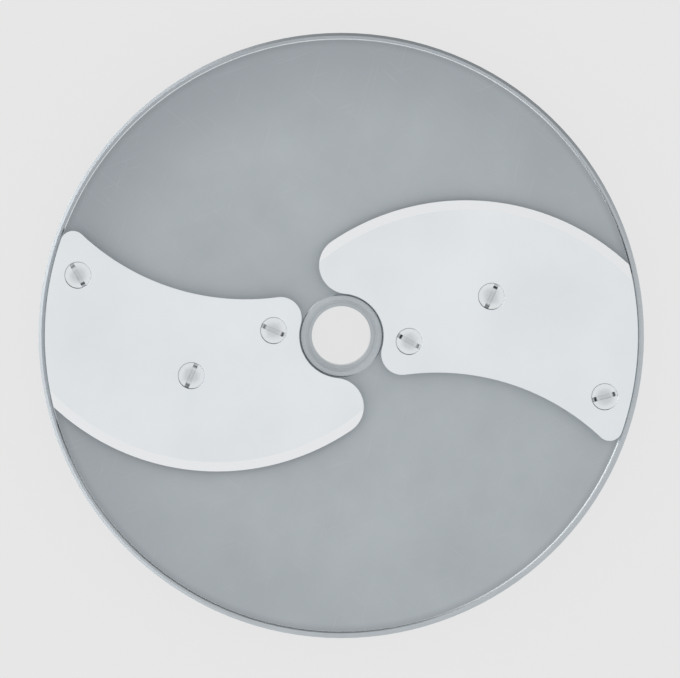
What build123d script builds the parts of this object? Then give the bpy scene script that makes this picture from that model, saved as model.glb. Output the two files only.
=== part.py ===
from build123d import *
from math import acos, degrees, radians, sqrt, tan
import os

# Slicing disc of a vegetable cutter: a cast plate that carries two curved blades.
# Millimetres. The bore runs along Z, and Z = 0 is the foot of the hub.
# Seen from above the disc turns anticlockwise, with the convex blade edges in front.

# Cast plate
disc_diameter = 190.0
plate_thickness = 4.0
lip_width = 2.05
lip_height = 0.45
lip_slope = 0.5
lip_bevel = 0.9
rim_width = 4.5
rim_depth = 2.5
rim_bevel = 0.8
root_bevel = 1.0

# Hub, collar and bore
bore_diameter = 18.6
bore_bevel = 0.5
flare_width = 0.8
flare_depth = 0.5
step_diameter = 21.4
step_slope = 0.7
step_depth = 0.5
collar_diameter = 26.0
collar_height = 1.0
collar_bevel = 0.35
hub_diameter = 34.0
hub_depth = 14.0
hub_draft = 3.0
hub_bevel = 1.0
drive_slot_width = 6.2
drive_slot_depth = 5.0

# Blades: both long edges are arcs of one radius, so that blanks nest on the sheet.
# Each offset is how close the arc's circle passes to the bore axis.
# Each bearing is the direction of the arc's centre, seen from the axis.
blade_thickness = 1.5
edge_radius = 75.0
cutting_offset = 24.25
cutting_bearing = 140.15
trailing_offset = 16.5
trailing_bearing = 109.1
lobe_radius = 9.0
neck_radius = 6.6
heel_radius = 4.0
tip_radius = 0.8
bevel_width = 3.0
edge_land = 0.3
collar_clearance = 0.25
lip_clearance = 0.6

# Blade seats and slice slots
slice_gap = 3.0
seat_inset = 0.4
edge_overhang = 2.0
slot_overlap = 0.5
slot_width = 16.0
slot_bevel = 1.0
slot_rim_land = 1.0
slot_hub_land = 1.0

# Countersunk screws with a straight slot
screw_diameter = 4.0
screw_length = 10.0
head_diameter = 8.0
head_slot_width = 1.2
head_slot_depth = 1.0
countersink_diameter = 8.5
thread_clearance = 0.05
relief_clearance = 0.15
boss_diameter = 11.0
boss_depth = 3.0
outer_screw_inset = 8.2
outer_screw_bearing = 167.0
middle_screw_reach = 48.6
middle_screw_bearing = 194.8
hub_screw_inset = 8.05
hub_screw_bearing = 175.4
# How far each tightened screw's slot has turned, outer to hub, left blade then right blade
slot_turns = (118.0, 65.0, 156.0, 14.0, 63.0, 148.0)

# Levels along the bore axis
plate_bottom = hub_depth
plate_top = plate_bottom + plate_thickness
rim_bottom = plate_bottom - rim_depth
lip_top = plate_top + lip_height
collar_top = plate_top + collar_height
step_level = collar_top - step_depth
seat_level = plate_top + slice_gap
blade_top = seat_level + blade_thickness
head_sink = (countersink_diameter - head_diameter) / 2
head_top = blade_top - head_sink
cone_height = (head_diameter - screw_diameter) / 2
cone_reach = max(0, seat_level - (head_top - cone_height))

# Radii about the bore axis
disc_radius = disc_diameter / 2
lip_inner = disc_radius - lip_width
rim_inner = disc_radius - rim_width
bore_radius = bore_diameter / 2
step_radius = step_diameter / 2
collar_radius = collar_diameter / 2
collar_wall = collar_radius - step_radius
hub_foot_radius = hub_diameter / 2
hub_root_radius = hub_foot_radius + hub_depth * tan(radians(hub_draft))
lip_crest = lip_inner + lip_slope
blade_end = lip_crest - lip_clearance
blade_neck = collar_radius + collar_clearance
# The collar's wall limits its edges: half of it for the slope inside, a quarter for the bevel outside
step_brim = step_radius + min(step_slope, collar_wall / 2)
collar_edge = min(collar_bevel, collar_wall / 4)
shank_radius = screw_diameter / 2
tap_radius = shank_radius + thread_clearance


def polar(reach, bearing):
    """Point at a distance and direction from the bore axis."""
    return Vector(reach, 0).rotate(Axis.Z, bearing)


def crossing(centre, centre_reach, axis_reach):
    """Point at one distance from an arc's centre and another from the bore axis, on the blade's side."""
    span = centre.length
    run = (span**2 + axis_reach**2 - centre_reach**2) / (2 * span)
    rise = sqrt(axis_reach**2 - run**2)
    along = centre.normalized()
    return along * run + along.rotate(Axis.Z, 90) * rise


def toward(start, target, distance):
    """Point at a distance from start, in the direction of target."""
    return start + (target - start).normalized() * distance


# Left blade's outline, anticlockwise from the cutting tip at the rim
axis_point = Vector(0, 0)
cutting_centre = polar(edge_radius - cutting_offset, cutting_bearing)
trailing_centre = polar(edge_radius + trailing_offset, trailing_bearing)
lobe_centre = crossing(cutting_centre, edge_radius - lobe_radius, blade_neck + lobe_radius)
neck_centre = crossing(trailing_centre, edge_radius + neck_radius, blade_neck + neck_radius)
tip = crossing(cutting_centre, edge_radius, blade_end)
heel = crossing(trailing_centre, edge_radius, blade_end)
lobe_start = toward(cutting_centre, lobe_centre, edge_radius)
lobe_end = toward(axis_point, lobe_centre, blade_neck)
neck_start = toward(axis_point, neck_centre, blade_neck)
neck_end = toward(trailing_centre, neck_centre, edge_radius)

with BuildSketch() as blade_outline:
    with BuildLine():
        RadiusArc(tip, lobe_start, -edge_radius)
        RadiusArc(lobe_start, lobe_end, -lobe_radius)
        RadiusArc(lobe_end, neck_start, blade_neck)
        RadiusArc(neck_start, neck_end, -neck_radius)
        RadiusArc(neck_end, heel, edge_radius)
        RadiusArc(heel, tip, -blade_end)
    make_face()
    fillet(blade_outline.vertices().sort_by_distance(heel)[0], heel_radius)
    fillet(blade_outline.vertices().sort_by_distance(tip)[0], tip_radius)

# The seat stays hidden under its blade, and leaves the cutting edge free
with BuildSketch() as seat_outline:
    add(blade_outline.sketch)
    offset(amount=-seat_inset)
    with Locations(cutting_centre):
        Circle(edge_radius - edge_overhang, mode=Mode.INTERSECT)

# Slice slot: follows the cutting edge, with its front wall just behind it
slot_path_radius = edge_radius - slot_overlap - slot_width / 2
slot_rim_reach = rim_inner - root_bevel - slot_rim_land - slot_bevel - slot_width / 2
slot_hub_reach = hub_root_radius + root_bevel + slot_hub_land + slot_bevel + slot_width / 2


def slot_swing(reach):
    """Angle at the cutting arc's centre between the bore axis and the slot path at this reach."""
    span = cutting_centre.length
    return degrees(acos((span**2 + slot_path_radius**2 - reach**2) / (2 * span * slot_path_radius)))


slot_start = cutting_bearing + 180 - slot_swing(slot_rim_reach)
slot_sweep = slot_swing(slot_rim_reach) - slot_swing(slot_hub_reach)
slot_path = CenterArc(cutting_centre, slot_path_radius, slot_start, slot_sweep)

# Screw places, outer to hub, for the left blade and then the right one
left_places = (
    polar(blade_end - outer_screw_inset, outer_screw_bearing),
    polar(middle_screw_reach, middle_screw_bearing),
    polar(blade_neck + hub_screw_inset, hub_screw_bearing),
)
right_places = tuple(-place for place in left_places)
screw_places = left_places + right_places

# Half section of the casting, from the foot of the bore outwards and back over the top:
# each corner with its bevel
section_corners = (
    ((bore_radius, 0), bore_bevel),
    ((hub_foot_radius, 0), hub_bevel),
    ((hub_root_radius, plate_bottom), root_bevel),
    ((rim_inner, plate_bottom), root_bevel),
    ((rim_inner, rim_bottom), 0),
    ((disc_radius, rim_bottom), rim_bevel),
    ((disc_radius, lip_top), lip_bevel),
    ((lip_crest, lip_top), 0),
    ((lip_inner, plate_top), 0),
    ((collar_radius, plate_top), 0),
    ((collar_radius, collar_top), collar_edge),
    ((step_brim, collar_top), 0),
    ((step_radius, step_level), 0),
    ((bore_radius + flare_width, step_level), 0),
    ((bore_radius, step_level - flare_depth), 0),
)

with BuildPart() as disc_body:
    with BuildSketch(Plane.XZ) as casting_section:
        with BuildLine():
            Polyline(*[corner for corner, bevel in section_corners], close=True)
        make_face()
        for corner, bevel in section_corners:
            if bevel:
                chamfer(casting_section.vertices().sort_by_distance(corner)[0], bevel)
    revolve(axis=Axis.Z)

    # Screw bosses under the plate
    with BuildSketch(Plane.XY.offset(plate_bottom)):
        with Locations(*screw_places):
            Circle(boss_diameter / 2)
    extrude(amount=-boss_depth)

    # Seats that hold the cutting edges one slice above the plate
    with BuildSketch(Plane.XY.offset(plate_top)):
        with PolarLocations(0, 2):
            add(seat_outline.sketch)
    extrude(amount=slice_gap)

    # Slice slots, with their lower edges bevelled so that slices fall clear
    with BuildSketch(Plane.XY.offset(seat_level)):
        with PolarLocations(0, 2):
            SlotArc(slot_path, slot_width)
    extrude(amount=-(seat_level - rim_bottom), mode=Mode.SUBTRACT)
    chamfer(disc_body.edges(Select.LAST).group_by(Axis.Z)[0], length=slot_bevel)

    # Tapped holes, each relieved at its mouth where the cone of the screw head reaches into the seat
    relief_radius = shank_radius + cone_reach + relief_clearance
    relief_depth = cone_reach + relief_clearance
    with Locations(*[place + Vector(0, 0, seat_level) for place in screw_places]):
        CounterBoreHole(tap_radius, relief_radius, relief_depth)

    # Slot across the foot of the hub for the shaft's drive pin
    with BuildSketch(Plane.XY):
        Rectangle(hub_root_radius * 2, drive_slot_width)
    extrude(amount=drive_slot_depth, mode=Mode.SUBTRACT)

# Blade with a bevel ground round its convex edge
bevel_drop = blade_thickness - edge_land

with BuildPart() as left_blade:
    with BuildSketch(Plane.XY.offset(seat_level)):
        add(blade_outline.sketch)
    extrude(amount=blade_thickness)

    # The grinding cone runs through the top face and through the cutting edge
    with BuildSketch(Plane(cutting_centre, x_dir=(1, 0, 0), z_dir=(0, -1, 0))):
        with BuildLine():
            Polyline(
                (edge_radius - 2 * bevel_width, blade_top + bevel_drop),
                (edge_radius + bevel_width, blade_top - 2 * bevel_drop),
                (edge_radius + bevel_width, blade_top + bevel_drop),
                close=True,
            )
        make_face()
    revolve(axis=Axis(cutting_centre, (0, 0, 1)), mode=Mode.SUBTRACT)

    with Locations(*[place + Vector(0, 0, blade_top) for place in left_places]):
        CounterSinkHole(tap_radius, countersink_diameter / 2, counter_sink_angle=90)

with BuildPart() as right_blade:
    add(left_blade.part, rotation=(0, 0, 180))

# One screw, with the top of its head at Z = 0
with BuildPart() as screw:
    with BuildSketch(Plane.XZ):
        with BuildLine():
            Polyline(
                (0, 0),
                (head_diameter / 2, 0),
                (shank_radius, -cone_height),
                (shank_radius, -screw_length),
                (0, -screw_length),
                close=True,
            )
        make_face()
    revolve(axis=Axis.Z)
    with BuildSketch(Plane.XY):
        Rectangle(head_diameter, head_slot_width)
    extrude(amount=-head_slot_depth, mode=Mode.SUBTRACT)

with BuildPart() as blade_screws:
    for place, turn in zip(screw_places, slot_turns):
        with Locations(Location((place.X, place.Y, head_top), (0, 0, turn))):
            add(screw.part)

os.makedirs("parts", exist_ok=True)

disc_body.part.label = "disc_body"
export_step(disc_body.part, "parts/disc_body.step")
left_blade.part.label = "left_blade"
export_step(left_blade.part, "parts/left_blade.step")
right_blade.part.label = "right_blade"
export_step(right_blade.part, "parts/right_blade.step")
blade_screws.part.label = "blade_screws"
export_step(blade_screws.part, "parts/blade_screws.step")
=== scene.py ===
# %% [markdown]
# # A slicing disc for a vegetable cutter
# The disc is an aluminium casting that turns on a shaft. Two curved steel blades are screwed to seats on
# top of it, and slices fall through slots under the blades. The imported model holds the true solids, so
# this lesson gives them their finishes, makes the screws with their threads, and lights the whole disc.

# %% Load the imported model
import math

import bmesh
import bpy
from mathutils import Matrix, Vector


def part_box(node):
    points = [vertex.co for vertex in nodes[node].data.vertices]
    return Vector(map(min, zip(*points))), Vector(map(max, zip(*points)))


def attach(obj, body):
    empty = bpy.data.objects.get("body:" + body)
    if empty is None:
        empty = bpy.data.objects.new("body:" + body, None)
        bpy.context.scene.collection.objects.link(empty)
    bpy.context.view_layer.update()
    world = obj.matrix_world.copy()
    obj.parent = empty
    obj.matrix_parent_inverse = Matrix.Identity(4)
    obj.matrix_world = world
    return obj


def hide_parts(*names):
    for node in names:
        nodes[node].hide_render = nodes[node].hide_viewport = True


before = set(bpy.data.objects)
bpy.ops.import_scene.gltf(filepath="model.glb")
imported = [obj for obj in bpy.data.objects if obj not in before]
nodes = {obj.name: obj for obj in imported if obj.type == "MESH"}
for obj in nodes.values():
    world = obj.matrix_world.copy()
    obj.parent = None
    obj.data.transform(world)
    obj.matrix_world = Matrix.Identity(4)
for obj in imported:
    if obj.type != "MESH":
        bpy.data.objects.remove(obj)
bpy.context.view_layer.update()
print("nodes:", sorted(nodes))

# %% [markdown]
# ## Sizes
# Blender works in metres and a maker thinks in millimetres, so one value converts them. The disc's own
# sizes are read from the loaded solids instead of being typed again: then the finishes stay in place if
# the disc is ever made larger. The casting's innermost points lie on the bore. The blades fill the plate
# from the collar round the bore to the lip at the edge, so their reach from the axis also tells where
# those two begin.

# %% Measure the disc
mm = 0.001
disc_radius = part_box("disc_body")[1].x
blade_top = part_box("left_blade")[1].z


def reach(name):
    """How far the corners of a node lie from the bore axis: the least and the most."""
    far = [vert.co.xy.length for vert in nodes[name].data.vertices]
    return min(far), max(far)


bore_radius = reach("disc_body")[0]
collar_edge, lip_foot = reach("left_blade")
print(f"disc {2 * disc_radius / mm:.0f} mm across, bore {2 * bore_radius / mm:.1f} mm, "
      f"blades from {collar_edge / mm:.2f} to {lip_foot / mm:.2f} mm out, up to {blade_top / mm:.1f} mm")

# %% [markdown]
# ## Camera
# The disc is seen from straight above, from far away, with the camera leaning a little towards the top of
# the picture. A long lens keeps the circle round. The lens follows from the distance and from the width
# that the picture covers at the level of the blades. A camera that looks straight down has no natural
# "up", so its turn is built from three axes instead of a tracking rule.

# %% Camera above the disc
picture_width = 212.9 * mm
camera_distance = 2.0
camera_lean = math.radians(1.0)
lean_bearing = math.radians(107)
aim = Vector((-0.45 * mm, -0.95 * mm, blade_top))

camera_data = bpy.data.cameras.new("camera")
camera_data.lens = camera_data.sensor_width * camera_distance / picture_width
camera = bpy.data.objects.new("camera", camera_data)
bpy.context.scene.collection.objects.link(camera)
back = Vector((math.sin(camera_lean) * math.cos(lean_bearing),
               math.sin(camera_lean) * math.sin(lean_bearing), math.cos(camera_lean)))
right = Vector((0, 1, 0)).cross(back).normalized()
camera_turn = Matrix((right, back.cross(right), back)).transposed()
camera.matrix_world = Matrix.Translation(aim + back * camera_distance) @ camera_turn.to_4x4()
bpy.context.scene.camera = camera
print(f"lens {camera_data.lens:.0f} mm at {camera_distance:.1f} m")

# %% [markdown]
# ## Three helpers for materials
# Colours are written as sRGB hex, as a colour picker shows them, and shaders count in linear light, so one
# function converts. Every node tree below is a list of nodes with their settings and links, so one small
# function adds a node and gives back the output that the next node needs: a socket in its inputs is linked,
# and anything else is set as a value. All finishes of the disc are bare metal, so a third function starts
# one. A Mix node can mix several kinds of data, so the settings that make it mix colours have a name.

# %% Colour, node and metal helpers
colour_mix = {"out": "Result", "data_type": "RGBA"}


def linear(hex_colour):
    """sRGB hex colour as linear red, green, blue and alpha."""
    channels = [int(hex_colour[i : i + 2], 16) / 255 for i in (1, 3, 5)]
    return [c / 12.92 if c <= 0.04045 else ((c + 0.055) / 1.055) ** 2.4 for c in channels] + [1.0]


def node(tree, kind, inputs=(), out=0, **settings):
    """Adds a node and returns one of its outputs: settings are its properties, inputs its sockets."""
    made = tree.nodes.new(kind)
    for name, value in settings.items():
        setattr(made, name, value)
    for key, value in inputs.items() if isinstance(inputs, dict) else enumerate(inputs):
        if isinstance(value, bpy.types.NodeSocket):
            tree.links.new(value, made.inputs[key])
        else:
            made.inputs[key].default_value = value
    return made.outputs[out] if made.outputs else None


def bare_metal(name):
    """Starts a metal: its material, node tree and shader, and the piece's own coordinates in metres."""
    material = bpy.data.materials.new(name)
    material.use_nodes = True
    tree = material.node_tree
    shader = tree.nodes["Principled BSDF"]
    shader.inputs["Metallic"].default_value = 1.0
    return material, tree, shader, node(tree, "ShaderNodeTexCoord", out="Object")


print("a middle grey of the picker, in linear light:", round(linear("#808080")[0], 3))

# %% [markdown]
# ## Cast aluminium: where it is turned
# The casting leaves the mould with a rough skin and is tumbled to a soft satin. The collar round the bore
# and the lip at the edge are then cut on a lathe, so they are smoother and carry fine rings. Two materials
# could be set on chosen faces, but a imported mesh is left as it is, so one material holds both finishes, and
# the distance from the bore axis tells them apart. Walls that were milled or drilled are brighter than the
# skin, and they can be told by which way they face: the upright part of the normal is near zero on a wall
# and near one on a level face. The narrow slope inside the lip was cut last, so it is bright too.

# %% Zones of the casting
slope_middle = lip_foot + 0.2 * mm
slope_width = 0.3 * mm
wall_facing, slant_facing, level_facing = 0.2, 0.5, 0.9


def casting_zones(tree, place):
    """A point's flat place and radius, and whether it is on the collar, the lip, a cut or a level face."""
    flat = node(tree, "ShaderNodeVectorMath", [place, (1, 1, 0)], operation="MULTIPLY")
    radius = node(tree, "ShaderNodeVectorMath", [flat], out="Value", operation="LENGTH")
    collar = node(tree, "ShaderNodeMath", [radius, collar_edge], operation="LESS_THAN")
    lip = node(tree, "ShaderNodeMath", [radius, lip_foot], operation="GREATER_THAN")
    normal = node(tree, "ShaderNodeTexCoord", out="Normal")
    facing = node(tree, "ShaderNodeSeparateXYZ", [normal], out="Z")
    upright = node(tree, "ShaderNodeMath", [facing], operation="ABSOLUTE")
    wall = node(tree, "ShaderNodeMapRange",
                {"Value": upright, "From Min": wall_facing, "From Max": slant_facing,
                 "To Min": 1.0, "To Max": 0.0})
    slope = node(tree, "ShaderNodeMath", [radius, slope_middle, slope_width / 2], operation="COMPARE")
    cut = node(tree, "ShaderNodeMath", [slope, wall], operation="MAXIMUM")
    level = node(tree, "ShaderNodeMath", [upright, level_facing], operation="GREATER_THAN")
    return flat, radius, collar, lip, cut, level


print(f"turned inside {collar_edge / mm:.2f} mm and outside {lip_foot / mm:.2f} mm")

# %% [markdown]
# ## Cast aluminium: painted shade in two corners
# Shade is painted, as a darker grey, in the corner at the foot of the lip and on the ledge round the bore.
# An Ambient Occlusion node could find such corners by itself, but it would darken every corner alike. Both
# places are rings about the bore axis, so one function draws them. The ring at the lip is drawn twice as
# wide as the painted shade in the corner, because only its inner half lies on the plate.

# %% Rings of painted shade
# Painted shade in the corner at the foot of the lip and on the ledge round the bore
lip_shade_width = 2.4 * mm
ledge_shade_out = 1.1 * mm
ledge_shade_width = 0.9 * mm
corner_shade_share, ledge_shade_share = 0.3, 0.4


def ring_shade(tree, radius, middle, width, share):
    """A share of painted shade on a ring about the axis, most at its middle and none half a width away."""
    away = node(tree, "ShaderNodeMath", [radius, middle], operation="SUBTRACT")
    away = node(tree, "ShaderNodeMath", [away], operation="ABSOLUTE")
    return node(tree, "ShaderNodeMapRange",
                {"Value": away, "From Min": 0.0, "From Max": width / 2, "To Min": share, "To Max": 0.0},
                interpolation_type="SMOOTHSTEP")


def casting_corner_shade(tree, radius):
    """The painted shade on the plate at the foot of the lip, and on the ledge round the bore."""
    corner = ring_shade(tree, radius, lip_foot, 2 * lip_shade_width, corner_shade_share)
    on_plate = node(tree, "ShaderNodeMath", [radius, lip_foot], operation="LESS_THAN")
    ledge = ring_shade(tree, radius, bore_radius + ledge_shade_out, ledge_shade_width, ledge_shade_share)
    return node(tree, "ShaderNodeMath", [corner, on_plate, ledge], operation="MULTIPLY_ADD")


# The painted corner shade at the lip covers this width of the plate
print(f"dust on the last {lip_shade_width / mm:.1f} mm of the plate, and {ledge_shade_out / mm:.1f} mm round the bore")

# %% [markdown]
# ## Cast aluminium: tone
# No casting has one even grey. A painted picture could hold its clouds, but noise needs no file and has no
# seams: slow noise, a couple of centimetres from patch to patch, gives the cloudy tone. Towards the foot
# of the lip, most on one side, shade is painted over it as a darker grey. The painted shade in the two
# corners lies over that, and the bright cuts come last.

# %% Tone of the casting
mottle_size = 22 * mm
skin_stops, skin_colours = (0.3, 0.7), ("#B0B6BA", "#B8BEC2")
# Painted shade: the plate grows darker towards the lip, most on one side
side_shade_start = 0.62 * disc_radius
side_shade_bearing = math.radians(135)
least_side_shade, most_side_shade = 0.1, 0.75
# The first two colours are painted shade: towards the lip on one side, and in the two corners
side_shade_colour, corner_shade_colour, cut_colour = "#9CA2A7", "#84898E", "#C8CDD0"


def casting_tone(tree, place, flat, radius, cut):
    """The slow noise of the skin, and the colour that follows from it, from painted shade and cuts."""
    mottle = node(tree, "ShaderNodeTexNoise",
                  {"Vector": place, "Scale": 1 / mottle_size, "Detail": 4, "Roughness": 0.6}, out="Fac")
    skin = node(tree, "ShaderNodeValToRGB", [mottle])
    for stop, position, colour in zip(skin.node.color_ramp.elements, skin_stops, skin_colours):
        stop.position = position
        stop.color = linear(colour)

    # Painted shade, darker towards the lip and most on one side
    near_lip = node(tree, "ShaderNodeMapRange",
                    {"Value": radius, "From Min": side_shade_start, "From Max": disc_radius},
                    interpolation_type="SMOOTHSTEP")
    side_shade_way = (math.cos(side_shade_bearing), math.sin(side_shade_bearing), 0)
    side = node(tree, "ShaderNodeVectorMath", [flat, side_shade_way], out="Value", operation="DOT_PRODUCT")
    one_side = node(tree, "ShaderNodeMapRange",
                    {"Value": side, "From Min": -disc_radius, "From Max": disc_radius,
                     "To Min": least_side_shade, "To Max": most_side_shade})
    side_shade = node(tree, "ShaderNodeMath", [near_lip, one_side], operation="MULTIPLY")
    side_shaded = node(tree, "ShaderNodeMix", {"Factor": side_shade, "A": skin, "B": linear(side_shade_colour)}, **colour_mix)
    # Painted shade in the corner at the foot of the lip and on the ledge round the bore
    corner_shade = casting_corner_shade(tree, radius)
    corner_shaded = node(tree, "ShaderNodeMix", {"Factor": corner_shade, "A": side_shaded, "B": linear(corner_shade_colour)}, **colour_mix)
    bright = node(tree, "ShaderNodeMix", {"Factor": cut, "A": corner_shaded, "B": linear(cut_colour)}, **colour_mix)
    return mottle, bright


# From this radius out the plate is painted darker, as shade
print(f"tone patches of {mottle_size / mm:.0f} mm, duller from {side_shade_start / mm:.0f} mm out")

# %% [markdown]
# ## Cast aluminium: scratches
# Use leaves hair scratches in a few directions. Drawn one by one they would be many thin strips, so noise
# makes them: stretched along one direction it gives dashes, and only its highest peaks are kept, so that few
# are left. A Mapping node in Texture mode turns the coordinates before it stretches them, which is what
# makes each set of dashes slant. It also shifts each set, so that no two are alike. Real hairs are a few
# hundredths of a millimetre wide, and these are drawn wider so that they show at all.

# %% Hair scratches
scratch_width = 0.45 * mm
scratch_length = 14 * mm
scratch_turns = (20, 75, 140)
peak_start, peak_full = 0.76, 0.82


def hair_scratches(tree, place):
    """Where the scratches lie, from 0 on clear skin to 1 along the middle of a scratch."""
    scratches = 0.0
    for angle in scratch_turns:
        slant = math.radians(angle)
        stretched = node(tree, "ShaderNodeMapping",
                         {"Vector": place, "Rotation": (0, 0, slant), "Location": (slant, 0, 0),
                          "Scale": (scratch_length, scratch_width, scratch_length)}, vector_type="TEXTURE")
        dashes = node(tree, "ShaderNodeTexNoise", {"Vector": stretched, "Scale": 1.0, "Detail": 0},
                      out="Fac")
        peaks = node(tree, "ShaderNodeMapRange",
                     {"Value": dashes, "From Min": peak_start, "From Max": peak_full})
        scratches = node(tree, "ShaderNodeMath", [peaks, scratches], operation="MAXIMUM")
    return scratches


print(f"scratches along {scratch_turns} degrees")

# %% [markdown]
# ## Cast aluminium: the whole finish
# The parts come together here. The tumbled skin has a fine grain and a broad, soft reflection. The turned
# zones are glossier, and their rings are drawn about twice as coarse as a real feed of 0.2 to 0.3 mm, so
# that they show. Grain and rings are bump, and only the level faces get it: walls and slanted cuts are
# narrow, so they stay smooth and catch the light in one clean line.

# %% Cast aluminium material
skin_roughness, mottle_roughness = 0.6, 0.06
collar_roughness, lip_roughness, cut_roughness = 0.44, 0.34, 0.24
scratch_share, scratch_colour = 0.16, "#C4C8CC"
grain_size = 0.7 * mm
turning_feed = 0.55 * mm
casting_bump, casting_relief = 0.12, 0.02 * mm


def cast_aluminium():
    """Tumbled aluminium: a soft, cloudy grey sheen, sharper and ringed where it was turned."""
    material, tree, shader, place = bare_metal("cast_aluminium_tumbled_and_turned")
    flat, radius, collar, lip, cut, level = casting_zones(tree, place)
    mottle, tone = casting_tone(tree, place, flat, radius, cut)
    faint = node(tree, "ShaderNodeMath", [hair_scratches(tree, place), scratch_share], operation="MULTIPLY")
    scratched = node(tree, "ShaderNodeMix", {"Factor": faint, "A": tone, "B": linear(scratch_colour)},
                     **colour_mix)
    tree.links.new(scratched, shader.inputs["Base Color"])

    rough = node(tree, "ShaderNodeMath", [mottle, mottle_roughness, skin_roughness],
                 operation="MULTIPLY_ADD")
    for zone, smoothed in ((collar, collar_roughness), (lip, lip_roughness), (cut, cut_roughness)):
        finish = node(tree, "ShaderNodeMapRange", {"Value": zone, "To Min": 1.0, "To Max": smoothed})
        rough = node(tree, "ShaderNodeMath", [finish, rough], operation="MINIMUM")
    tree.links.new(rough, shader.inputs["Roughness"])

    grain = node(tree, "ShaderNodeTexNoise", {"Vector": place, "Scale": 1 / grain_size, "Detail": 3},
                 out="Fac")
    phase = node(tree, "ShaderNodeMath", [radius, 2 * math.pi / turning_feed], operation="MULTIPLY")
    rings = node(tree, "ShaderNodeMath", [phase], operation="SINE")
    turned = node(tree, "ShaderNodeMath", [collar, lip], operation="ADD")
    relief = node(tree, "ShaderNodeMix", {"Factor": turned, "A": grain, "B": rings}, out="Result",
                  data_type="FLOAT")
    strength = node(tree, "ShaderNodeMath", [level, casting_bump], operation="MULTIPLY")
    bump = node(tree, "ShaderNodeBump",
                {"Strength": strength, "Distance": casting_relief, "Height": relief})
    tree.links.new(bump, shader.inputs["Normal"])
    return material


aluminium = cast_aluminium()
print("made", aluminium.name, "with", len(aluminium.node_tree.nodes), "nodes")

# %% [markdown]
# ## Screw seats
# Six countersunk screws hold the blades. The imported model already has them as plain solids, each in its
# place and turned as far as it was tightened. Their level faces tell what a finer screw needs: the lowest
# one is the foot, round the axis, the highest is the head, and the one between is the floor of the driver
# slot. The solids come in as loose triangles, so those are merged before they are parted.

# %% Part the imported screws
hair = 0.01 * mm
same_place = 0.1 * hair


def loose_parts(solid):
    """The separate solids of a node, each as its faces: a normal and the corners of each one."""
    shape = bmesh.new()
    shape.from_mesh(solid.data)
    bmesh.ops.remove_doubles(shape, verts=shape.verts, dist=same_place)
    shape.normal_update()
    parts = []
    for first in shape.faces:
        front = [] if first.tag else [first]
        first.tag = True
        part = []
        while front:
            face = front.pop()
            part.append((face.normal.copy(), [vert.co.copy() for vert in face.verts]))
            near = [other for edge in face.edges for other in edge.link_faces if not other.tag]
            for other in near:
                other.tag = True
            front.extend(near)
        if part:
            parts.append(part)
    shape.free()
    return parts


screw_solids = loose_parts(nodes["blade_screws"])
print(len(screw_solids), "screws with", [len(part) for part in screw_solids], "faces")

# %% Read the seats from their level faces
nearly_level = 0.99


def level_corners(part, way):
    """Corners of the level faces that look up (way 1) or down (way -1)."""
    return [corner for normal, corners in part for corner in corners if normal.z * way > nearly_level]


seats = []
for part in screw_solids:
    foot, upward = level_corners(part, -1), level_corners(part, 1)
    head_top = max(p.z for p in upward)
    axis = Vector(((min(p.x for p in foot) + max(p.x for p in foot)) / 2,
                   (min(p.y for p in foot) + max(p.y for p in foot)) / 2, head_top))
    slot_floor = [p - axis for p in upward if p.z < head_top - hair]
    # A slot has no front or back: at twice the angle, its two ends point the same way and add up
    slot_turn = 0.5 * math.atan2(sum(2 * p.x * p.y for p in slot_floor),
                                 sum(p.x**2 - p.y**2 for p in slot_floor))
    seats.append((axis, slot_turn))
    print(f"screw at {axis.x / mm:.1f}, {axis.y / mm:.1f} mm, "
          f"slot turned {math.degrees(slot_turn):.0f} degrees")

# %% Measure one screw
# All six are alike, and the names in the loop above still hold the last one
head_radius = max((p - axis).xy.length for p in upward)
shank_radius = max((p - axis).xy.length for p in foot)
screw_length = head_top - foot[0].z
across = Vector((-math.sin(slot_turn), math.cos(slot_turn), 0))
slot_width = 2 * max(p.dot(across) for p in slot_floor)
slot_depth = -slot_floor[0].z
print(f"head {2 * head_radius / mm:.1f}, shank {2 * shank_radius / mm:.1f}, "
      f"length {screw_length / mm:.1f}, slot {slot_width / mm:.2f} x {slot_depth / mm:.2f} mm")

# %% [markdown]
# ## Painted shade in the countersinks
# The wall of each countersink round the screw head is painted a darker grey, as shade. Below the top of the
# head, the wall shows only at the ends of the driver slot: there the painted shade fades, and deeper down a
# dark painted shadow lies, here strong and there faint. The nearest screw axis tells where the countersinks
# are, and the height tells the painted shade from the painted shadow.

# %% Painted shade and shadow
# Where the painted shade and shadow lie on the countersink walls
sink_reach = 1.1 * head_radius
wall_shade_fade = 0.75
wall_shade_low = head_top - 0.25 * slot_depth
sink_shadow_top = head_top - 0.55 * slot_depth
sink_shadow_full = head_top - 0.75 * slot_depth
shadow_patch = 9 * mm
faint_shadow, faint_below, strong_above = 0.45, 0.35, 0.6


def shadow_strength(tree, place):
    """How strong the painted shadow is, in patches: from faint, which lets the metal through, to full."""
    patches = node(tree, "ShaderNodeTexNoise", {"Vector": place, "Scale": 1 / shadow_patch, "Detail": 0},
                   out="Fac")
    return node(tree, "ShaderNodeMapRange",
                {"Value": patches, "From Min": faint_below, "From Max": strong_above,
                 "To Min": faint_shadow, "To Max": 1.0})


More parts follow.
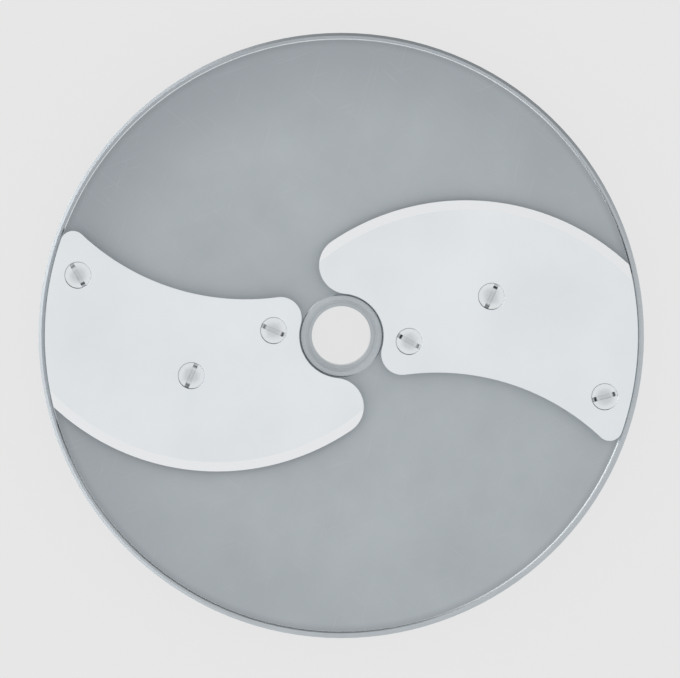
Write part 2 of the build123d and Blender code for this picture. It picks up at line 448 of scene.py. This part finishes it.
def countersink_shade(tree, place):
    """How much painted shade and how much painted shadow a point has: none away from the countersinks."""
    flat = node(tree, "ShaderNodeVectorMath", [place, (1, 1, 0)], operation="MULTIPLY")
    nearest = disc_radius
    for axis, slot_turn in seats:
        away = node(tree, "ShaderNodeVectorMath", [flat, (axis.x, axis.y, 0)], out="Value",
                    operation="DISTANCE")
        nearest = node(tree, "ShaderNodeMath", [away, nearest], operation="MINIMUM")
    near = node(tree, "ShaderNodeMath", [nearest, sink_reach], operation="LESS_THAN")
    height = node(tree, "ShaderNodeSeparateXYZ", [place], out="Z")
    sunk = node(tree, "ShaderNodeMath", [height, blade_top - hair], operation="LESS_THAN")
    wall = node(tree, "ShaderNodeMath", [near, sunk], operation="MULTIPLY")
    deep = node(tree, "ShaderNodeMapRange",
                {"Value": height, "From Min": sink_shadow_full, "From Max": sink_shadow_top,
                 "To Min": shadow_strength(tree, place), "To Max": 0.0})
    slot_end_shadow = node(tree, "ShaderNodeMath", [wall, deep], operation="MULTIPLY")
    kept = node(tree, "ShaderNodeMapRange",
                {"Value": height, "From Min": wall_shade_low, "From Max": head_top,
                 "To Min": 1 - wall_shade_fade, "To Max": 1.0})
    wall_shade = node(tree, "ShaderNodeMath", [wall, kept], operation="MULTIPLY")
    return wall_shade, slot_end_shadow


# The reach and height of the painted shade and shadow in the countersinks
print(f"dirt within {sink_reach / mm:.1f} mm of a screw's axis, grease under {sink_shadow_top / mm:.2f} mm")

# %% [markdown]
# ## Ground stainless steel
# The blades are stainless sheet, ground on both faces and then polished, so they are the brightest metal
# here. The shader's anisotropy could stretch reflections along the grinding, but polishing leaves little of
# that, so a faint bump does it: long lines along each blade, drawn coarser than a real grit so that they
# show. The gloss varies a little where fingers touched it. The bevel is ground last and is the brightest: it
# is told by which way it faces. Painted shade and shadow in the countersinks lie over all that.

# %% Blade steel material
grind_width = 0.5 * mm
grind_length = 45 * mm
grind_turn = math.radians(12)
grind_bump, grind_relief = 0.05, 0.01 * mm
smudge_size = 30 * mm
wiped_colour, smudged_colour, bevel_colour = "#E6EAEC", "#D6DADE", "#E4E6E8"
wiped_roughness, smudged_roughness = 0.26, 0.34
flat_facing, bevel_facing = 0.995, 0.97
# Painted shade on the countersink walls, and painted shadow where they show at the slot ends
wall_shade_colour, slot_end_shadow_colour = "#A0A4A8", "#43464A"
shadow_adds_roughness = 0.4


def ground_steel():
    """Ground and polished stainless: a bright, even haze, with a clean line along the bevel."""
    material, tree, shader, place = bare_metal("stainless_blade_ground_and_polished")
    stretched = node(tree, "ShaderNodeMapping",
                     {"Vector": place, "Rotation": (0, 0, grind_turn),
                      "Scale": (grind_length, grind_width, grind_length)}, vector_type="TEXTURE")
    lines = node(tree, "ShaderNodeTexNoise", {"Vector": stretched, "Scale": 1.0, "Detail": 2}, out="Fac")
    smudge = node(tree, "ShaderNodeTexNoise", {"Vector": place, "Scale": 1 / smudge_size, "Detail": 3},
                  out="Fac")
    sheet = node(tree, "ShaderNodeMix",
                 {"Factor": smudge, "A": linear(wiped_colour), "B": linear(smudged_colour)}, **colour_mix)
    normal = node(tree, "ShaderNodeTexCoord", out="Normal")
    facing = node(tree, "ShaderNodeSeparateXYZ", [normal], out="Z")
    bevel = node(tree, "ShaderNodeMapRange",
                 {"Value": facing, "From Min": flat_facing, "From Max": bevel_facing})
    ground = node(tree, "ShaderNodeMix", {"Factor": bevel, "A": sheet, "B": linear(bevel_colour)},
                  **colour_mix)
    # Painted shade on the countersink walls and painted shadow at the slot ends lie over the steel
    wall_shade, slot_end_shadow = countersink_shade(tree, place)
    wall_shaded = node(tree, "ShaderNodeMix", {"Factor": wall_shade, "A": ground, "B": linear(wall_shade_colour)},
                  **colour_mix)
    slot_end_shadowed = node(tree, "ShaderNodeMix", {"Factor": slot_end_shadow, "A": wall_shaded, "B": linear(slot_end_shadow_colour)},
                  **colour_mix)
    tree.links.new(slot_end_shadowed, shader.inputs["Base Color"])
    gloss = node(tree, "ShaderNodeMapRange",
                 {"Value": smudge, "To Min": wiped_roughness, "To Max": smudged_roughness})
    rough = node(tree, "ShaderNodeMath", [slot_end_shadow, shadow_adds_roughness, gloss], operation="MULTIPLY_ADD")
    tree.links.new(rough, shader.inputs["Roughness"])
    bump = node(tree, "ShaderNodeBump",
                {"Strength": grind_bump, "Distance": grind_relief, "Height": lines})
    tree.links.new(bump, shader.inputs["Normal"])
    return material


blade_steel = ground_steel()
for name, finish in (("disc_body", aluminium), ("left_blade", blade_steel), ("right_blade", blade_steel)):
    nodes[name].data.materials.clear()
    nodes[name].data.materials.append(finish)
    print(name, "gets", finish.name)

# %% [markdown]
# ## Turned screw steel
# The screws are turned from stainless bar. The lathe leaves fine rings on their heads, and the middle
# of each head is duller and a little darker, so the finish reads how far a point lies from the screw's own
# axis. That distance is stored on the mesh when the screws are made. The painted shadow of the countersinks
# also lies on the floor of the driver slot, at its two ends. The head is a cone of 45 degrees, so that floor
# ends as far inside the head's rim as the slot is deep.

# %% Screw steel material
ring_feed = 0.3 * mm
ring_bump, ring_relief = 0.08, 0.01 * mm
head_middle_radius = 2.4 * mm
head_middle_fade = 1.6 * mm
head_middle_colour, head_rim_colour = "#C8CBCE", "#DCDFE1"
head_middle_roughness, head_rim_roughness = 0.42, 0.26
slot_floor_level = head_top - slot_depth
slot_end = head_radius - slot_depth
# Where the painted shadow lies on the floor of the driver slot
floor_shadow_start = slot_end - 0.5 * mm
floor_shadow_full = floor_shadow_start + 0.3 * mm


def turned_steel():
    """Turned stainless: fine rings draw each highlight out, and the middle is darker and dull."""
    material, tree, shader, place = bare_metal("stainless_screw_turned")
    from_axis = node(tree, "ShaderNodeAttribute", out="Fac", attribute_name="from_axis")
    patches = node(tree, "ShaderNodeTexNoise", {"Vector": place, "Scale": 1 / head_middle_radius, "Detail": 2},
                   out="Fac")
    uneven = node(tree, "ShaderNodeMath", [patches, head_middle_fade, from_axis], operation="MULTIPLY_ADD")
    toward_rim = node(tree, "ShaderNodeMapRange",
                 {"Value": uneven, "From Min": head_middle_radius, "From Max": head_middle_radius + head_middle_fade})
    tone = node(tree, "ShaderNodeMix",
                {"Factor": toward_rim, "A": linear(head_middle_colour), "B": linear(head_rim_colour)}, **colour_mix)
    # Painted shadow on the floor of the driver slot, at its two ends
    height = node(tree, "ShaderNodeSeparateXYZ", [place], out="Z")
    in_slot = node(tree, "ShaderNodeMath", [height, slot_floor_level + hair], operation="LESS_THAN")
    at_ends = node(tree, "ShaderNodeMapRange",
                   {"Value": from_axis, "From Min": floor_shadow_start, "From Max": floor_shadow_full,
                    "To Max": shadow_strength(tree, place)})
    slot_end_shadow = node(tree, "ShaderNodeMath", [in_slot, at_ends], operation="MULTIPLY")
    slot_end_shadowed = node(tree, "ShaderNodeMix", {"Factor": slot_end_shadow, "A": tone, "B": linear(slot_end_shadow_colour)},
                  **colour_mix)
    tree.links.new(slot_end_shadowed, shader.inputs["Base Color"])
    rough = node(tree, "ShaderNodeMapRange",
                 {"Value": toward_rim, "To Min": head_middle_roughness, "To Max": head_rim_roughness})
    tree.links.new(rough, shader.inputs["Roughness"])
    phase = node(tree, "ShaderNodeMath", [from_axis, 2 * math.pi / ring_feed], operation="MULTIPLY")
    rings = node(tree, "ShaderNodeMath", [phase], operation="SINE")
    bump = node(tree, "ShaderNodeBump", {"Strength": ring_bump, "Distance": ring_relief, "Height": rings})
    tree.links.new(bump, shader.inputs["Normal"])
    return material


screw_steel = turned_steel()
print("made", screw_steel.name)

# %% [markdown]
# ## Screws: the head
# The same screw sits in six places, so Geometry Nodes make it once and set it on six points. Its sizes are
# named inputs of the tree. The head is a cone whose wide end lies at height zero, and its top is raised into
# a low crown: the share of the way out, squared, tells how far the crown has fallen there.

# %% Screw head nodes
head_crown = 0.12 * mm
thread_pitch = 0.7 * mm
thread_depth = 0.43 * mm
screw_sizes = {
    "Head Radius": head_radius,
    "Head Crown": head_crown,
    "Shank Radius": shank_radius,
    "Length": screw_length,
    "Slot Width": slot_width,
    "Slot Depth": slot_depth,
    "Thread Pitch": thread_pitch,
    "Thread Depth": thread_depth,
}
head_facets, head_side_rows, head_top_rings = 64, 4, 6


def distance_from_axis(tree):
    """How far each corner lies from the screw's axis, which is still at the origin here."""
    place = node(tree, "GeometryNodeInputPosition")
    flat = node(tree, "ShaderNodeVectorMath", [place, (1, 1, 0)], operation="MULTIPLY")
    return node(tree, "ShaderNodeVectorMath", [flat], out="Value", operation="LENGTH")


def screw_head(tree, given, cone_depth):
    """The cone of the head, with its low crown on top."""
    cone = node(tree, "GeometryNodeMeshCone",
                {"Vertices": head_facets, "Side Segments": head_side_rows, "Fill Segments": head_top_rings,
                 "Radius Top": given["Head Radius"], "Radius Bottom": given["Shank Radius"],
                 "Depth": cone_depth}, fill_type="TRIANGLE_FAN")
    down = node(tree, "ShaderNodeMath", [cone_depth, -1.0], operation="MULTIPLY")
    lowered = node(tree, "GeometryNodeTransform",
                   {"Geometry": cone, "Translation": node(tree, "ShaderNodeCombineXYZ", [0.0, 0.0, down])})
    share = node(tree, "ShaderNodeMath", [distance_from_axis(tree), given["Head Radius"]],
                 operation="DIVIDE")
    fall = node(tree, "ShaderNodeMath", [share, 2.0], operation="POWER")
    rise = node(tree, "ShaderNodeMath", [1.0, fall], operation="SUBTRACT")
    crown = node(tree, "ShaderNodeMath", [rise, given["Head Crown"]], operation="MULTIPLY")
    height = node(tree, "ShaderNodeSeparateXYZ", [node(tree, "GeometryNodeInputPosition")], out="Z")
    on_top = node(tree, "FunctionNodeCompare", {"A": height, "B": -hair}, data_type="FLOAT",
                  operation="GREATER_THAN")
    return node(tree, "GeometryNodeSetPosition",
                {"Geometry": lowered, "Selection": on_top,
                 "Offset": node(tree, "ShaderNodeCombineXYZ", [0.0, 0.0, crown])})


print("screw sizes in mm:", {name: round(size / mm, 2) for name, size in screw_sizes.items()})

# %% [markdown]
# ## Screws: the thread
# A thread is a groove along a helix: one turn climbs one pitch, which is 0.7 mm on an M4 screw. A V could
# be swept along that helix and cut out, but it is simpler to draw the skin of a rod inwards. The height in
# pitches, less the turn round the axis, grows by one from each groove to the next, and a ping-pong of it
# gives the V. Under the head and at the foot the ridge between the grooves runs out, which leaves the short
# neck and the tapered tip of a real screw.

# %% Screw thread nodes
run_in = 0.2 * mm
run_out = 0.6 * mm
rod_start_in_cone = 0.75
shank_facets, shank_rows, foot_rings = 32, 80, 2


def screw_thread(tree, given, cone_depth):
    """Where the skin of the rod lies once the groove is cut."""
    place = node(tree, "GeometryNodeInputPosition")
    x, y, z = node(tree, "ShaderNodeSeparateXYZ", [place]).node.outputs
    bearing = node(tree, "ShaderNodeMath", [y, x], operation="ARCTAN2")
    turns = node(tree, "ShaderNodeMath", [bearing, 2 * math.pi], operation="DIVIDE")
    climb = node(tree, "ShaderNodeMath", [z, given["Thread Pitch"]], operation="DIVIDE")
    phase = node(tree, "ShaderNodeMath", [climb, turns], operation="SUBTRACT")
    crest = node(tree, "ShaderNodeMath", [phase, 0.5], operation="PINGPONG")

    under_head = node(tree, "ShaderNodeMath", [z, cone_depth], operation="ADD")
    starts = node(tree, "ShaderNodeMapRange",
                  {"Value": under_head, "From Min": -run_in, "From Max": -run_in - run_out})
    over_foot = node(tree, "ShaderNodeMath", [z, given["Length"]], operation="ADD")
    ends = node(tree, "ShaderNodeMapRange", {"Value": over_foot, "From Min": 0.0, "From Max": run_out})
    running = node(tree, "ShaderNodeMath", [starts, ends], operation="MULTIPLY")
    ridge = node(tree, "ShaderNodeMath", [crest, running], operation="MULTIPLY")
    groove = node(tree, "ShaderNodeMath", [ridge, -2.0, 1.0], operation="MULTIPLY_ADD")
    depth = node(tree, "ShaderNodeMath", [groove, given["Thread Depth"]], operation="MULTIPLY")
    inward = node(tree, "ShaderNodeMath", [depth, given["Shank Radius"]], operation="DIVIDE")
    keep = node(tree, "ShaderNodeMath", [1.0, inward], operation="SUBTRACT")
    narrowed = node(tree, "ShaderNodeCombineXYZ", [keep, keep, 1.0])
    return node(tree, "ShaderNodeVectorMath", [place, narrowed], operation="MULTIPLY")


def screw_shank(tree, given, cone_depth):
    """The threaded rod, which starts inside the cone so that the two overlap and can be joined."""
    in_head = node(tree, "ShaderNodeMath", [cone_depth, rod_start_in_cone], operation="MULTIPLY")
    rod_length = node(tree, "ShaderNodeMath", [given["Length"], in_head], operation="SUBTRACT")
    rod = node(tree, "GeometryNodeMeshCylinder",
               {"Vertices": shank_facets, "Side Segments": shank_rows, "Fill Segments": foot_rings,
                "Radius": given["Shank Radius"], "Depth": rod_length}, fill_type="TRIANGLE_FAN")
    half = node(tree, "ShaderNodeMath", [rod_length, 0.5], operation="MULTIPLY")
    middle = node(tree, "ShaderNodeMath", [half, given["Length"]], operation="SUBTRACT")
    shank = node(tree, "GeometryNodeTransform",
                 {"Geometry": rod, "Translation": node(tree, "ShaderNodeCombineXYZ", [0.0, 0.0, middle])})
    skin = screw_thread(tree, given, cone_depth)
    return node(tree, "GeometryNodeSetPosition", {"Geometry": shank, "Position": skin})


print(f"{screw_length / thread_pitch:.0f} turns would fit along a screw")

# %% [markdown]
# ## Screws: one solid
# Head and shank are joined by a Boolean, so that no faces are left inside, and a block cuts the driver slot.
# The block has several faces along its length: they stay on the floor of the slot, so that the distance from
# the axis, stored at the corners, is right there too. Corners that the Boolean leaves almost in one place
# are merged, so that no sliver faces remain. Edges sharper than a thread's flank stay crisp.

# %% Screw body nodes
block_length_in_radii = 2.5
block_rows = 13
crisp_angle = math.radians(28)


def screw_body(tree, given):
    """One whole screw: head and shank joined, slotted, cleaned and shaded."""
    cone_depth = node(tree, "ShaderNodeMath", [given["Head Radius"], given["Shank Radius"]],
                      operation="SUBTRACT")
    both = node(tree, "GeometryNodeJoinGeometry")
    for piece in (screw_shank(tree, given, cone_depth), screw_head(tree, given, cone_depth)):
        tree.links.new(piece, both.node.inputs[0])
    whole = node(tree, "GeometryNodeMeshBoolean", {"Mesh 2": both, "Self Intersection": True},
                 operation="UNION", solver="EXACT")
    long = node(tree, "ShaderNodeMath", [given["Head Radius"], block_length_in_radii], operation="MULTIPLY")
    deep = node(tree, "ShaderNodeMath", [given["Slot Depth"], 2.0], operation="MULTIPLY")
    block = node(tree, "GeometryNodeMeshCube",
                 {"Size": node(tree, "ShaderNodeCombineXYZ", [long, given["Slot Width"], deep]),
                  "Vertices X": block_rows})
    slotted = node(tree, "GeometryNodeMeshBoolean", {"Mesh 1": whole, "Mesh 2": block},
                   operation="DIFFERENCE", solver="EXACT")
    clean = node(tree, "GeometryNodeMergeByDistance", {"Geometry": slotted, "Distance": same_place})
    soft = node(tree, "GeometryNodeSetShadeSmooth", {"Geometry": clean}, domain="FACE")
    bend = node(tree, "GeometryNodeInputMeshEdgeAngle")
    crisp = node(tree, "FunctionNodeCompare", {"A": bend, "B": crisp_angle}, data_type="FLOAT",
                 operation="GREATER_THAN")
    edged = node(tree, "GeometryNodeSetShadeSmooth",
                 {"Geometry": soft, "Selection": crisp, "Shade Smooth": False}, domain="EDGE")
    return node(tree, "GeometryNodeStoreNamedAttribute",
                {"Geometry": edged, "Name": "from_axis", "Value": distance_from_axis(tree)},
                data_type="FLOAT", domain="POINT")


print(f"edges over {math.degrees(crisp_angle):.0f} degrees stay crisp")

# %% [markdown]
# ## Screws: six of them
# Each seat is a point that carries its own turn, and the tree sets a screw on every point. The instances
# are made real at the end, because an export keeps only real faces. A modifier's inputs are set by their
# identifiers, since that is what it stores them under. The result is then made a plain mesh, and the
# modifier goes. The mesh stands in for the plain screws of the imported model, and it moves with the disc.

# %% Screw tree
def screw_tree():
    """The whole tree: seats and sizes go in, finished screws come out."""
    tree = bpy.data.node_groups.new("slotted_screws", "GeometryNodeTree")
    tree.interface.new_socket("Seats", in_out="INPUT", socket_type="NodeSocketGeometry")
    for name in screw_sizes:
        tree.interface.new_socket(name, in_out="INPUT", socket_type="NodeSocketFloat")
    tree.interface.new_socket("Screws", in_out="OUTPUT", socket_type="NodeSocketGeometry")
    given = node(tree, "NodeGroupInput").node.outputs
    turned = node(tree, "GeometryNodeInputNamedAttribute", {"Name": "slot_turn"}, data_type="FLOAT")
    spin = node(tree, "FunctionNodeEulerToRotation",
                [node(tree, "ShaderNodeCombineXYZ", [0.0, 0.0, turned])])
    copies = node(tree, "GeometryNodeInstanceOnPoints",
                  {"Points": given["Seats"], "Instance": screw_body(tree, given), "Rotation": spin})
    real = node(tree, "GeometryNodeRealizeInstances", [copies])
    finished = node(tree, "GeometryNodeSetMaterial", {"Geometry": real, "Material": screw_steel})
    node(tree, "NodeGroupOutput", [finished])
    return tree


print("inputs:", ", ".join(screw_sizes))

# %% Screws on their seats
points = bpy.data.meshes.new("screw_seats")
points.from_pydata([axis for axis, slot_turn in seats], [], [])
slot_turns = points.attributes.new("slot_turn", "FLOAT", "POINT")
slot_turns.data.foreach_set("value", [slot_turn for axis, slot_turn in seats])
screws = bpy.data.objects.new("slotted_screws", points)
bpy.context.scene.collection.objects.link(screws)
modifier = screws.modifiers.new("screws", "NODES")
modifier.node_group = screw_tree()
for item in modifier.node_group.interface.items_tree:
    if item.name in screw_sizes:
        modifier[item.identifier] = screw_sizes[item.name]
solid = bpy.data.meshes.new_from_object(screws.evaluated_get(bpy.context.evaluated_depsgraph_get()))
screws.modifiers.clear()
screws.data = solid
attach(screws, "root")
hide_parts("blade_screws")
print(len(seats), "screws,", sum(len(face.vertices) - 2 for face in solid.polygons), "triangles")

# %% [markdown]
# ## Floor
# The disc lies on a pale sheet in a light tent. More light could make the sheet as pale, but it would fall
# on the disc too. So to the camera and in reflections the sheet mostly glows in its own colour, as an evenly
# lit tent does, and a small share of plain paper keeps the disc's shadow. Under the disc the sheet lies in
# shade, so there its glow fades out, for the camera too, except below the bore.

# %% Pale floor
floor_colour = "#E7E7E7"
paper_share = 0.07
shade_edge = 0.8 * disc_radius
floor_size = 6.0


def pale_paper():
    """Matt white paper: an even pale ground with a soft shadow on it."""
    material = bpy.data.materials.new("pale_paper")
    material.use_nodes = True
    tree = material.node_tree
    tree.nodes.clear()
    ray = node(tree, "ShaderNodeLightPath").node.outputs
    place = node(tree, "ShaderNodeTexCoord", out="Object")
    from_middle = node(tree, "ShaderNodeVectorMath", [place], out="Value", operation="LENGTH")
    around = node(tree, "ShaderNodeMapRange",
                  {"Value": from_middle, "From Min": shade_edge, "From Max": disc_radius})
    below_bore = node(tree, "ShaderNodeMath", [from_middle, bore_radius], operation="LESS_THAN")
    in_the_open = node(tree, "ShaderNodeMath", [around, below_bore], operation="MAXIMUM")
    mirrored = node(tree, "ShaderNodeMath", [ray["Is Glossy Ray"], ray["Is Transmission Ray"]],
                    operation="MAXIMUM")
    seen = node(tree, "ShaderNodeMath", [ray["Is Camera Ray"], mirrored], operation="MAXIMUM")
    glowing = node(tree, "ShaderNodeMath", [seen, in_the_open], operation="MULTIPLY")
    glow_share = node(tree, "ShaderNodeMath", [glowing, 1 - paper_share], operation="MULTIPLY")
    matt = node(tree, "ShaderNodeBsdfDiffuse", {"Color": linear(floor_colour)})
    glow = node(tree, "ShaderNodeEmission", {"Color": linear(floor_colour), "Strength": 1.0})
    surface = node(tree, "ShaderNodeMixShader", [glow_share, matt, glow])
    node(tree, "ShaderNodeOutputMaterial", {"Surface": surface})
    return material


bpy.ops.mesh.primitive_plane_add(size=floor_size, location=(0, 0, 0))
floor = bpy.context.object
floor.name = "floor"
floor.data.materials.append(pale_paper())
print(f"floor {floor_size:.0f} m wide")

# %% [markdown]
# ## Light
# A light tent is even overhead and brighter near the floor. Lamps and white panels could build it, but the
# world does the same with a few nodes. What a metal part shows of a tent is where it is not even, low down:
# a softbox on the left, a brighter strip of window beyond it, a dark corner where the tent opens, and a near
# side that is slightly dimmer. Each one is a bearing on the horizon with a soft edge, and it fades out at
# its own height. All are kept low: a level blade mirrors the tent at the height from which it is seen, so
# taller lights would turn it white from the side. The camera itself sees only the plain pale backdrop.

# %% Tent light
floor_light, overhead_light = 1.95, 1.0
floor_light_low, floor_light_high = 0.03, 0.22

world = bpy.data.worlds.new("light_tent")
bpy.context.scene.world = world
world.use_nodes = True
sky = world.node_tree
sky.nodes.clear()
direction = node(sky, "ShaderNodeTexCoord", out="Generated")
sky_height = node(sky, "ShaderNodeSeparateXYZ", [direction], out="Z")


def tent_light(level, bearing, narrow, wide, low, high, strength):
    """Adds light towards a bearing, full up to a low height and gone at a high one (1 is overhead).

    Narrow and wide are the cosines of how far to each side of the bearing it is full, and gone.
    """
    axis = (math.cos(math.radians(bearing)), math.sin(math.radians(bearing)), 0)
    facing = node(sky, "ShaderNodeVectorMath", [direction, axis], out="Value", operation="DOT_PRODUCT")
    spread = node(sky, "ShaderNodeMapRange",
                  {"Value": facing, "From Min": wide, "From Max": narrow, "To Max": strength},
                  interpolation_type="SMOOTHSTEP")
    fade = node(sky, "ShaderNodeMapRange",
                {"Value": sky_height, "From Min": low, "From Max": high, "To Min": 1.0, "To Max": 0.0},
                interpolation_type="SMOOTHSTEP")
    return node(sky, "ShaderNodeMath", [spread, fade, level], operation="MULTIPLY_ADD")


level = node(sky, "ShaderNodeMapRange",
             {"Value": sky_height, "From Min": floor_light_low, "From Max": floor_light_high,
              "To Min": floor_light, "To Max": overhead_light}, interpolation_type="SMOOTHSTEP")
level = tent_light(level, bearing=192, narrow=0.97, wide=0.45, low=0.05, high=0.22, strength=2.0)
level = tent_light(level, bearing=145, narrow=0.97, wide=0.7, low=0.0, high=0.12, strength=3.2)
level = tent_light(level, bearing=68, narrow=0.9, wide=0.5, low=0.1, high=0.32, strength=-1.75)
level = tent_light(level, bearing=310, narrow=0.9, wide=0.3, low=0.0, high=0.25, strength=-0.45)
tent = node(sky, "ShaderNodeBackground", {"Color": linear("#FFFFFF"), "Strength": level})
plain = node(sky, "ShaderNodeBackground", {"Color": linear(floor_colour), "Strength": 1.0})
camera_ray = node(sky, "ShaderNodeLightPath", out="Is Camera Ray")
backdrop = node(sky, "ShaderNodeMixShader", [camera_ray, tent, plain])
node(sky, "ShaderNodeOutputWorld", {"Surface": backdrop})
print("light tent with", len(sky.nodes), "nodes")

# %% [markdown]
# ## Finish
# The Standard view transform shows colours as they are written.

# %% Finish
bpy.context.scene.view_settings.view_transform = "Standard"
